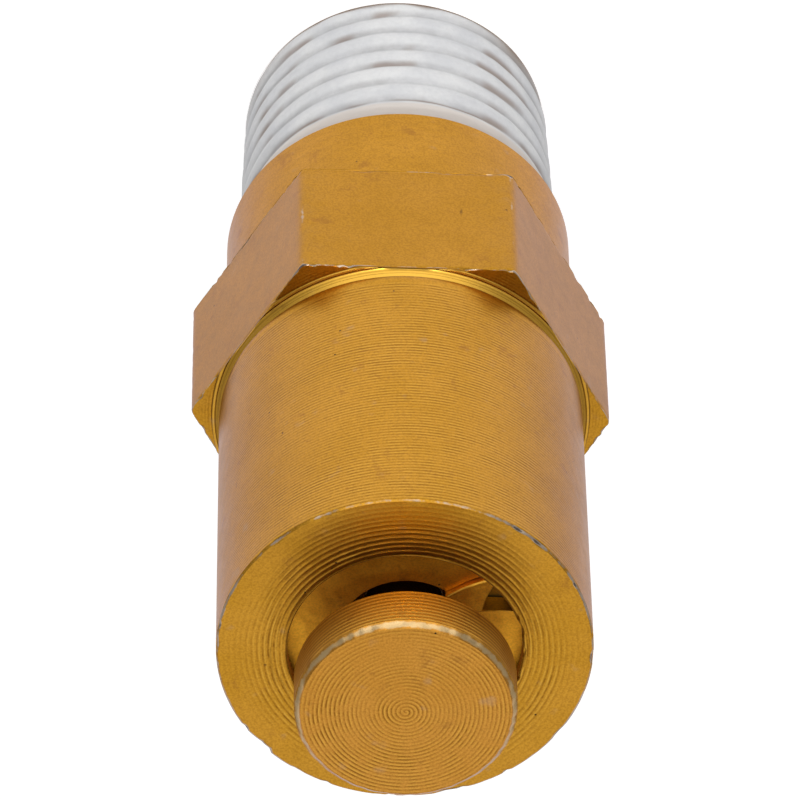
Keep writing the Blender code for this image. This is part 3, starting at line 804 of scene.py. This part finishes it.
def wear_hexagon(s, outline):
    """Bright burr and chips along the hexagon's edges and corners."""
    front = s.on("front")
    sides = s.on("flats", "front_edge", "back_edge")
    hexagon = front | sides | s.on("back")
    from_outline = np.abs(outline - s.radius)
    near_front = bell(np.hypot(np.abs(s.height - BARREL_BASE_Z), from_outline), 0.085 * MM)
    near_back = bell(np.hypot(s.height - HEX_BASE_Z, from_outline), 0.10 * MM)
    corner_way = np.abs((s.angle + TURN / 12.0) % (TURN / 6.0) - TURN / 12.0) * HEX_CORNER_R
    near_corner = bell(corner_way, 0.16 * MM)
    chip = chips(s.noise(23, 230, 64, 0.3 * MM, s.height), 0.15)
    chip += 0.6 * chips(s.noise(24, 60, 64, 0.6 * MM, s.height), 0.4)
    burr = s.noise(25, 240, 32, 0.3 * MM, s.radius)
    corner_chip = near_corner * (0.25 + 0.75 * near_front)
    edge_chip = np.maximum(near_front, 0.6 * near_back)
    s.radius[hexagon] -= (0.11 * MM * chip * np.maximum(edge_chip, 0.3 * corner_chip))[hexagon]
    s.height[front] -= (0.03 * MM * near_front * (chip + 0.25 * burr))[front]
    worn = s.noise(26, 43, 32, 1.1 * MM, s.height)
    wear = near_front * (0.92 + 0.30 * worn) + near_back * (0.50 + 0.35 * worn)
    wear += near_corner * (0.50 + 0.38 * worn) * sides[:, None]
    s.marks["edge"][hexagon] = wear[hexagon]


def mark_neck(s):
    """Very fine turning marks on the neck."""
    neck = s.on("neck")
    fine = s.noise(27, 90, 128, 0.12 * MM, s.height)
    s.radius[neck] += (0.002 * MM * (fine - 1.0))[neck]
    s.marks["groove"][neck] = np.clip(0.15 + 0.15 * fine, 0.0, 1.0)[neck]


def cut_thread(s):
    """Helical thread under the sealant, fading at both ends."""
    thread = s.on("thread")
    phase = s.height / THREAD_PITCH - s.angle / TURN
    ridge = np.abs(((phase - np.floor(phase)) - 0.5) * 2.0)
    fade = span(s.height, 0.2 * MM, 1.0 * MM, 8.6 * MM, 9.5 * MM)
    cone = THREAD_END_R + s.height * THREAD_TAPER
    s.radius[thread] = (cone - THREAD_DEPTH * (0.55 + 0.4 * ridge * fade))[thread]
    s.marks["groove"][thread] = 0.6


def build_hexagon(material):
    """Rear half of the body: hexagon, neck, the thread under the sealant, and the inlet."""
    even = even_azimuths(288)
    crowded_at_corners = even - 0.1 * np.sin(6.0 * even)
    marks = ("groove", "edge", "faced", "turned", "dull")
    s = Surface(hexagon_outline(), crowded_at_corners, marks)
    outline = hex_radius(s.angle)
    shape_hexagon(s, outline)
    mark_hexagon(s)
    wear_hexagon(s, outline)
    mark_neck(s)
    cut_thread(s)
    s.marks["groove"][s.on("bore")] = 0.3
    place(s.piece("body_hexagon", "loop"), "housing", material, "body")


# ---------------------------------------------------------------- sealant, plunger and inner pieces


def sealant_dirt(s, low, brushed):
    """Brown at the inlet end, along one seam, and in two dirty stretches near the end."""
    end_stain = s.noise(34, 40, 32, 0.5 * MM, s.height)
    end = 1.0 - smooth(low + 0.05 * MM, low + 0.45 * MM + 0.2 * MM * end_stain, s.height)
    seam_z = 8.28 * MM
    seam = 0.70 * bell(s.height - seam_z, 0.14 * MM) * smooth(-1.0, 0.5, end_stain)
    left_angle = 3.75
    right_angle = 5.9
    end_dirt = bell(s.angle - left_angle, 0.42) + 0.5 * bell(s.angle - right_angle, 0.3)
    low_band = (1.0 - smooth(0.25 * MM, 1.7 * MM, s.height)) * (0.75 + 0.5 * brushed)
    return np.clip(np.maximum(np.maximum(end, seam), 0.80 * end_dirt * low_band), 0.0, 1.0)


def build_sealant(material):
    """Dry sealant: rounded helical ridges over the thread, thinning out at the inlet end."""
    top = NECK_BASE_Z - 0.03 * MM
    low = 0.02 * MM
    lathe = Lathe()
    lathe.line("outside", (1.0, top), (1.0, low), 0.045 * MM)
    lathe.line("inside", (0.0, low), (0.0, top), 0.5 * MM)
    s = Surface(lathe, even_azimuths(240), ())
    cone = THREAD_END_R + s.height * THREAD_TAPER
    phase = s.height / THREAD_PITCH - s.angle / TURN + 0.03
    swing = s.noise(31, 9, 32, 1.4 * MM, s.height) * 0.05
    ridge = (0.5 - 0.5 * np.cos(TURN * (phase + swing))) ** 0.72
    lumps = s.noise(32, 70, 64, 0.35 * MM, s.height)
    brushed = s.noise(33, 26, 64, 0.8 * MM, s.height)
    low_fade = smooth(low - 0.3 * MM, low + 0.7 * MM, s.height)
    thickness = 0.07 + 0.165 * ridge + 0.012 * lumps + 0.02 * brushed
    skin = cone + (thickness * low_fade + 0.08 * (1.0 - low_fade)) * MM
    s.radius = np.where(s.on("outside")[:, None], skin, cone - 0.10 * MM)
    # Valley mask for the painted shade and the dirt in the sealant's valleys.
    s.marks["groove"] = 1.0 - smooth(0.0, 0.72, ridge)
    s.marks["edge"] = sealant_dirt(s, low, brushed)
    s.marks["dust"] = smooth(8.4 * MM, 8.75 * MM, s.height)
    # Painted shade mask: 0 at the front, rising to 1 on the sides and back.
    s.marks["grime"] = 1.0 - bell(s.angle - FRONT_ANGLE, 0.95)
    piece = s.piece("sealant_coat", "loop", sharp_degrees=60.0)
    place(piece, "housing", material, "thread_sealant")


HEAD_BASE_Z = 40.64 * MM
HEAD_CHAMFER = 0.25 * MM
HEAD_SIDE_BASE_Z = HEAD_BASE_Z + 0.1 * MM
HEAD_SIDE_FEED = (HEAD_TOP_Z - HEAD_CHAMFER - HEAD_SIDE_BASE_Z) / HEAD_SIDE_TURNS


def plunger_outline():
    """From the middle of the head's face over its side and down the stem to the stud's end."""
    lathe = Lathe()
    top = HEAD_TOP_Z
    chamfer = HEAD_CHAMFER
    edge = 0.05 * MM
    under_r = HEAD_R - 0.1 * MM
    lathe.line("face", (0.03 * MM, top), (HEAD_R - chamfer, top), HEAD_FEED / HEAD_STATIONS)
    lathe.line("chamfer", (HEAD_R - chamfer, top), (HEAD_R, top - chamfer), edge)
    side_step = HEAD_SIDE_FEED / FINE_STATIONS
    lathe.line("side", (HEAD_R, top - chamfer), (HEAD_R, HEAD_SIDE_BASE_Z), side_step)
    lathe.line("side", (HEAD_R, HEAD_SIDE_BASE_Z), (under_r, HEAD_BASE_Z), edge)
    stem = [
        (under_r, HEAD_BASE_Z),
        (1.75 * MM, HEAD_BASE_Z),
        (1.65 * MM, HEAD_BASE_Z - 0.1 * MM),
        (1.65 * MM, 35.55 * MM),
        (1.60 * MM, 35.5 * MM),
        (1.2 * MM, 35.5 * MM),
        (1.2 * MM, 20.35 * MM),
        (0.85 * MM, 20.35 * MM),
        (0.85 * MM, 19.75 * MM),
        (1.2 * MM, 19.75 * MM),
        (1.2 * MM, 10.5 * MM),
        (0.9 * MM, 10.5 * MM),
        (0.9 * MM, 5.9 * MM),
        (0.8 * MM, 5.8 * MM),
    ]
    lathe.path("stem", stem, 0.8 * MM)
    lathe.line("stem", stem[-1], (0.4 * MM, 5.8 * MM), 1.0 * MM)
    return lathe


def mark_head_face(s):
    """Spiral facing marks, stronger in the middle and towards the high-Y side."""
    face = s.on("face")
    out = s.radius / HEAD_R
    patchy = s.noise(41, 9, 64, 0.9 * MM, s.radius)
    toward_y = 0.5 + 0.5 * np.sin(s.angle)
    strength = np.clip(0.42 + 0.45 * patchy + 0.60 * toward_y * smooth(0.1, 0.6, out), 0.10, 1.3)
    strength = strength * (1.0 - 0.45 * smooth(0.8, 1.0, out)) + 0.4 * (1.0 - smooth(0.1, 0.35, out))
    wobble = s.noise(42, 7, 64, 0.3 * MM, s.radius) * 0.10
    mark = scallop(s.radius / HEAD_FEED + s.angle / TURN + wobble)
    s.height[face] += (0.0075 * MM * strength * (mark - 1.0))[face]
    s.marks["faced"][face] = np.clip(strength, 0.0, 1.0)[face]


def mark_head_side(s):
    """Turned grooves round the head's side, with painted shade at the bottom of each and a painted highlight
    on the cusps.
    """
    side = s.on("side")
    patchy = s.noise(43, 9, 64, 0.5 * MM, s.height)
    mark = scallop((s.height - HEAD_BASE_Z) / HEAD_SIDE_FEED - s.angle / TURN)
    below_rim = smooth(0.20 * MM, 0.35 * MM, HEAD_TOP_Z - s.height)
    strength = np.clip(0.9 + 0.4 * patchy, 0.2, 1.4) * below_rim
    s.radius[side] += (0.008 * MM * strength * (mark - 1.0))[side]
    # Painted shade at the bottom of each trough, painted highlight on the cusps.
    s.marks["groove"][side] = np.clip(1.5 * strength * (1.0 - mark) ** 2, 0.0, 1.5)[side]
    s.marks["polish"][side] = (0.22 + 0.50 * mark)[side]


def knock_head_rim(s):
    """Dented and worn rim between the head's face and side."""
    rim = s.on("face", "side", "chamfer")
    half = HEAD_CHAMFER / 2.0
    near = bell(np.hypot(s.radius - (HEAD_R - half), s.height - (HEAD_TOP_Z - half)), 0.21 * MM)
    dent = s.noise(44, 110, 32, 0.25 * MM, s.height + s.radius)
    dent += 0.6 * s.noise(45, 37, 32, 0.5 * MM, s.height + s.radius)
    depth = 0.022 * MM * near * np.clip(dent + 0.5, 0.0, 1.5)
    s.radius[rim] -= depth[rim]
    s.height[rim] -= depth[rim]
    worn = s.noise(46, 15, 32, 0.8 * MM, s.height + s.radius)
    s.marks["edge"][rim] = (near * (0.92 + 0.12 * worn + 0.04 * dent))[rim]


def build_plunger(material):
    """Mushroom head with turned side, faced end and knocked rim, on its stem."""
    s = Surface(plunger_outline(), even_azimuths(216), ("groove", "edge", "faced", "turned", "polish"))
    mark_head_face(s)
    mark_head_side(s)
    knock_head_rim(s)
    s.marks["groove"][s.on("stem")] = 0.35
    place(s.piece("plunger_turned", "fans"), "plunger", material, "plunger")


RING_END_STEP = 0.0012


def ring_turns(cuts):
    """Shares of the ring's turn for its stations: even, closer at both ends, and at the notch's sides."""
    step = RING_END_STEP
    notch_step = 1e-4
    even = np.linspace(0.0, 1.0, 281)
    near_ends = [step, 2.0 * step, 1.0 - 2.0 * step, 1.0 - step]
    notch_sides = [*cuts, cuts[0] + notch_step, cuts[1] - notch_step]
    return np.sort(np.concatenate([even, near_ends, notch_sides]))[:, None]


def build_ring(material):
    """Retaining ring: a rising coil of flat strip with a painted highlight along one end edge, and its
    removal notch.
    """
    low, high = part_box("retaining_ring")
    inner_r = 2.76 * MM
    outer_r = high.x
    middle_r = 4.0 * MM
    bevel = 0.05 * MM
    rise = 0.37 * MM
    end_angle = math.radians(-127.0)
    sweep = TURN - math.radians(0.3)
    notch_x = 3.1 * MM
    notch_angles = (math.radians(-131.5), math.radians(-151.0))
    cuts = [(end_angle - a) / sweep for a in notch_angles]
    turn = ring_turns(cuts)
    angle = end_angle - sweep * turn
    notched = (turn > cuts[0]) & (turn < cuts[1])
    outer = np.where(notched, notch_x / np.abs(np.cos(angle)), outer_r)
    share = np.linspace(0.0, 1.0, 14)[None, :]

    # Section: up the outer side, inwards over the rippled top, and down the inner side
    top_z = high.z - rise * turn
    base_z = low.z + 0.0 * top_z
    inner = inner_r + 0.0 * outer
    end_round = bevel * bell(turn * sweep * middle_r, bevel)
    ripple_place = inner_r + (outer - inner_r) * share
    ripple = 0.012 * MM * PeriodicNoise(52, 90, 64, 0.3 * MM)(angle + 0.0 * share, ripple_place)
    top_r = inner_r + bevel + (outer - inner_r - 2.0 * bevel) * share
    top = (top_z - end_round + ripple)[:, ::-1]
    radius = np.concatenate([outer, outer, top_r[:, ::-1], inner, inner], 1)
    height = np.concatenate([base_z, top_z - bevel, top, top_z - bevel, base_z], 1)

    # The ends are cut at a slant, and the higher one has a painted highlight along its edge
    slant_per_mm = math.radians(5.6)
    pivot_mm = 3.0
    near_ends = 0.5 + 0.5 * np.cos(TURN * turn)
    angles = angle + slant_per_mm * (pivot_mm - radius / MM) * near_ends
    last_turn = 1.0 - RING_END_STEP
    to_end = np.minimum(np.abs(turn - RING_END_STEP), np.abs(turn - last_turn)) * sweep * middle_r
    line_strength = np.where(turn < 0.5, 0.8, 0.0)
    uneven = 1.0 + 0.3 * PeriodicNoise(51, 60, 64, 0.5 * MM)(angles, radius)
    # Painted highlight: a bright line along the higher end's edge.
    polish = line_strength * bell(to_end, 0.028 * MM) * uneven
    plain = np.zeros_like(radius)
    attributes = {"groove": plain, "edge": plain, "faced": plain, "turned": plain, "polish": polish}
    piece = grid_mesh("retaining_coil", rings(radius, height, angles), "fans", attributes)
    place(piece, "housing", material, "retaining_ring")


def build_spring(material):
    """Coil spring with closed ends, squeezed as the plunger rises."""
    low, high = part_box("return_spring")
    wire = 0.2 * MM
    coil = high.x - wire
    turns = 8
    closed_pitch = 2.0 * wire + 0.06 * MM
    bottom = low.z + wire
    open_pitch = (high.z - low.z - 2.0 * wire - 2.0 * closed_pitch) / (turns - 2)
    per_turn = 40
    t = np.arange(turns * per_turn + 1) / per_turn
    rise = closed_pitch * np.minimum(t, 1.0)
    rise += open_pitch * np.clip(t - 1.0, 0.0, turns - 2)
    rise += closed_pitch * np.maximum(t - (turns - 1), 0.0)
    angle = TURN * t
    center = np.stack([coil * np.cos(angle), coil * np.sin(angle), bottom + rise], -1)
    outward = np.stack([np.cos(angle), np.sin(angle), np.zeros_like(angle)], -1)
    around = np.linspace(0.0, TURN, 12, endpoint=False)
    section = outward[:, None, :] * (wire * np.cos(around))[None, :, None]
    upward = np.array([0.0, 0.0, 1.0])[None, None, :] * (wire * np.sin(around))[None, :, None]
    points = center[:, None, :] + section + upward
    attributes = {"groove": np.zeros(points.shape[:2])}
    piece = grid_mesh("spring_coil", points, "fans", attributes, sharp_degrees=50.0)
    place(piece, "housing", material, "return_spring")
    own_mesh(piece)


def dress_inner_nodes():
    """Better materials for the CAD pieces that keep their shape."""
    ringed = (1.0, 1.0, 14.0)
    brass = metal_material("inner_brass_metal", (0.60, 0.42, 0.16), (0.70, 0.52, 0.24), 0.28, ringed)
    steel = metal_material("inner_steel_metal", (0.46, 0.46, 0.47), (0.60, 0.60, 0.61), 0.26, ringed)
    rubber = soft_material("seal_rubber_black", (0.012, 0.012, 0.013), (0.03, 0.03, 0.03), 0.55, 2500.0)
    plastic = soft_material("stop_plastic_white", (0.68, 0.66, 0.60), (0.76, 0.75, 0.70), 0.4, 1800.0)
    # Painted shade: the guide bush made dark olive brass, standing for the shadow under the ring.
    shade_dark_brass = metal_material("aged_brass_metal", (0.20, 0.15, 0.035), (0.27, 0.20, 0.055), 0.40, ringed)
    dressed = {
        "guide_bush": shade_dark_brass,
        "seat_ring": brass,
        "poppet_plate": brass,
        "seat_o_ring": rubber,
        "poppet_seal": rubber,
        "stop_washer": plastic,
    }
    for name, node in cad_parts.items():
        for slot in node.material_slots:
            slot.material = dressed.get(name, steel)


# ---------------------------------------------------------------- studio


def build_floor():
    """Pale paper that the inlet end stands on."""
    mesh = bpy.data.meshes.new("studio_floor")
    half = 1.5
    corners = [(-half, -half, 0), (half, -half, 0), (half, half, 0), (-half, half, 0)]
    mesh.from_pydata(corners, [], [(0, 1, 2, 3)])
    floor = bpy.data.objects.new("studio_floor", mesh)
    floor.location.z = -0.02 * MM
    bpy.context.scene.collection.objects.link(floor)
    n = Nodes("floor_paint")
    paper = n.noise(900.0, 3.0, 0.6)
    n.set(base_color=n.mix(paper, (0.61, 0.61, 0.61), (0.64, 0.64, 0.64)), roughness=0.9)
    n.shader.inputs["Specular IOR Level"].default_value = 0.0
    n.shader.inputs["Emission Color"].default_value = (1.0, 1.0, 1.0, 1.0)
    n.shader.inputs["Emission Strength"].default_value = 0.62
    mesh.materials.append(n.material)


def outward(azimuth, elevation):
    """Unit vector away from the object, its azimuth counted from -Y towards +X."""
    return Vector(
        (
            math.sin(azimuth) * math.cos(elevation),
            -math.cos(azimuth) * math.cos(elevation),
            math.sin(elevation),
        )
    )


def add_light(data, location, target):
    """Puts a light in the scene, aimed at the target."""
    light = bpy.data.objects.new(data.name, data)
    light.location = location
    light.rotation_euler = (target - light.location).to_track_quat("-Z", "Y").to_euler()
    bpy.context.scene.collection.objects.link(light)


def softbox(name, azimuth, elevation, distance, size, radiance):
    """Rectangular light aimed at the object, as bright per area as radiance says."""
    data = bpy.data.lights.new(name, "AREA")
    data.shape = "RECTANGLE"
    data.size, data.size_y = size
    data.energy = radiance * math.pi * size[0] * size[1]
    target = Vector((0.0, 0.0, 0.02))
    out = outward(math.radians(azimuth), math.radians(elevation))
    add_light(data, target + out * distance, target)


def light_pool():
    """Narrow light on the paper just in front of the object, which its front sides reflect."""
    data = bpy.data.lights.new("front_pool", "SPOT")
    data.energy = 1.6
    data.spot_size = math.radians(16.0)
    data.spot_blend = 1.0
    data.shadow_soft_size = 0.01
    add_light(data, Vector((0.0, -0.12, 0.30)), Vector((0.0, -0.026, 0.0)))


def build_world():
    """Even white surroundings."""
    world = bpy.data.worlds.new("soft_studio")
    world.use_nodes = True
    background = world.node_tree.nodes["Background"]
    background.inputs["Color"].default_value = (1.0, 1.0, 1.0, 1.0)
    background.inputs["Strength"].default_value = 0.42
    bpy.context.scene.world = world


def build_camera():
    """Looks down on the plunger end from the hexagon's front flat, turned upside down."""
    roll = math.radians(178.986)
    distance = 331.1 * MM
    target = Vector((0.018 * MM, 0.0, 21.21 * MM))
    back = outward(math.radians(3.267), math.radians(53.6))
    right = (-back).cross(Vector((0, 0, 1))).normalized()
    up = right.cross(-back)
    turned_right = right * math.cos(roll) + up * math.sin(roll)
    turned_up = up * math.cos(roll) - right * math.sin(roll)
    data = bpy.data.cameras.new("camera")
    data.sensor_width = 36.0
    data.lens = 342.3
    data.clip_start = 0.01
    data.clip_end = 10.0
    camera = bpy.data.objects.new("camera", data)
    rotation = Matrix((turned_right, turned_up, back)).transposed().to_4x4()
    camera.matrix_world = Matrix.Translation(target + back * distance) @ rotation
    bpy.context.scene.collection.objects.link(camera)
    bpy.context.scene.camera = camera


def main():
    build_camera()
    build_world()
    build_floor()
    softbox("front_softbox", azimuth=3.0, elevation=48.0, distance=0.6, size=(0.80, 0.50), radiance=1.4)
    softbox("top_panel", azimuth=183.0, elevation=53.0, distance=0.6, size=(0.62, 0.62), radiance=0.72)
    light_pool()
    body_coat = gold_material("gold_coat", GOLD, GOLD_PALE, GOLD_DEEP, 0.27)
    build_barrel(body_coat)
    build_hexagon(body_coat)
    build_sealant(sealant_material())
    head_wear = {"bare": HEAD_BARE, "bare_share": 0.62, "dirt_share": 0.2, "feed": HEAD_FEED}
    head_coat = gold_material("plunger_gold_coat", HEAD_GOLD, HEAD_PALE, GOLD_DEEP, 0.27, **head_wear)
    build_plunger(head_coat)
    build_ring(gold_material("ring_gold_coat", RING_GOLD, RING_PALE, RING_DEEP, 0.42))
    wire_steel = metal_material("spring_wire", (0.44, 0.44, 0.45), (0.6, 0.6, 0.61), 0.22, brushed=(1, 1, 6))
    build_spring(wire_steel)
    dress_inner_nodes()
    bpy.context.scene.view_settings.view_transform = "Standard"


main()
